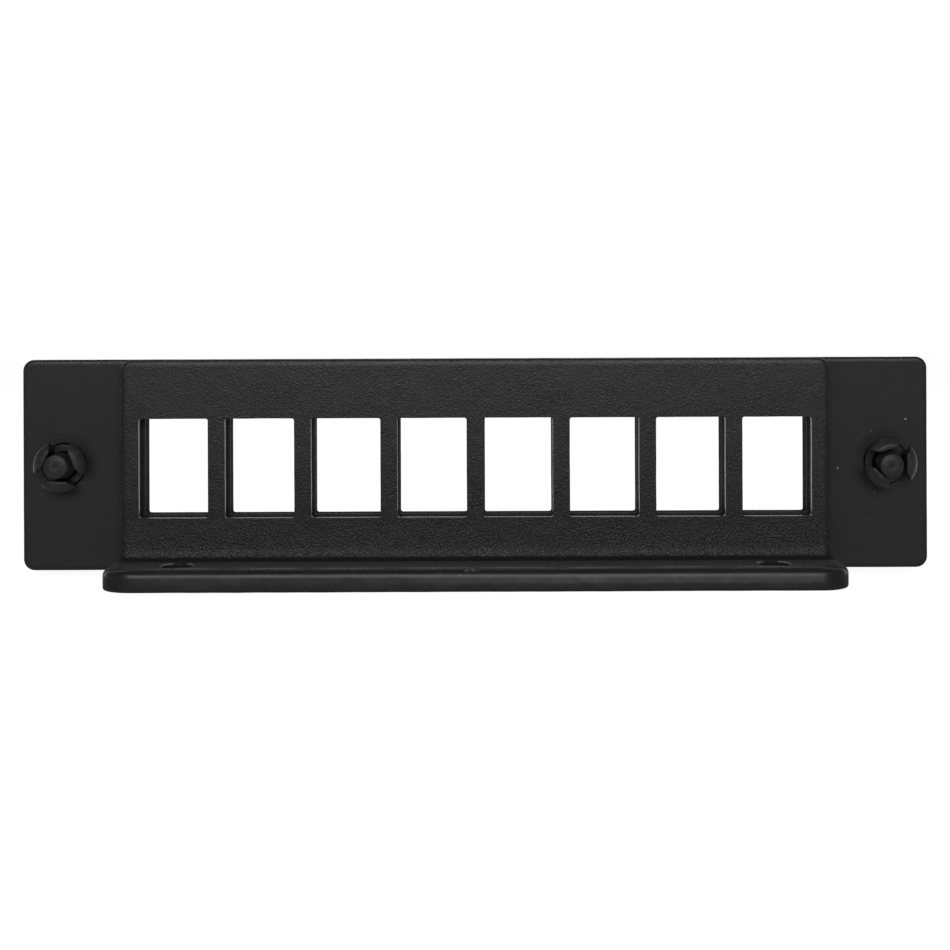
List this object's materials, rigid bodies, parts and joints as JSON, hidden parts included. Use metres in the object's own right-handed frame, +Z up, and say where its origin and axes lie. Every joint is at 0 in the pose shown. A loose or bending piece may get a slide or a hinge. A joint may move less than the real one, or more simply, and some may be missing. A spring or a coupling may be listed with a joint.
{
  "type": "fibre adapter plate",
  "caption": "Black panel plate with a row of adapter windows, a bent flange with tapped holes along one edge, and push fasteners in its ears.",
  "frame": {"origin": "middle of the ear plate's rear face, the face that seats on the housing, half way between the two fasteners", "axes": "+X along the plate, +Z up towards the edge away from the flange, -Y into the housing, where the flange and the fastener legs point"},
  "size_m": [0.13, 0.0229, 0.0315],
  "materials": {
    "black_coated_sheet": "black powder coat with a fine orange-peel texture",
    "black_moulding": "satin black moulded nylon"
  },
  "bodies": {
    "plate": {"ear_plate": "black_coated_sheet", "flange_bracket": "black_coated_sheet", "left_grommet": "black_moulding", "right_grommet": "black_moulding"},
    "left_plunger_body": {"left_plunger": "black_moulding"},
    "right_plunger_body": {"right_plunger": "black_moulding"}
  },
  "joints": [
    {"name": "left_plunger_slide", "type": "slide", "parent": "plate", "child": "left_plunger_body", "axis": [0, 1, 0], "range_m": [0, 0.005]},
    {"name": "right_plunger_slide", "type": "slide", "parent": "plate", "child": "right_plunger_body", "axis": [0, 1, 0], "range_m": [0, 0.005]}
  ]
}
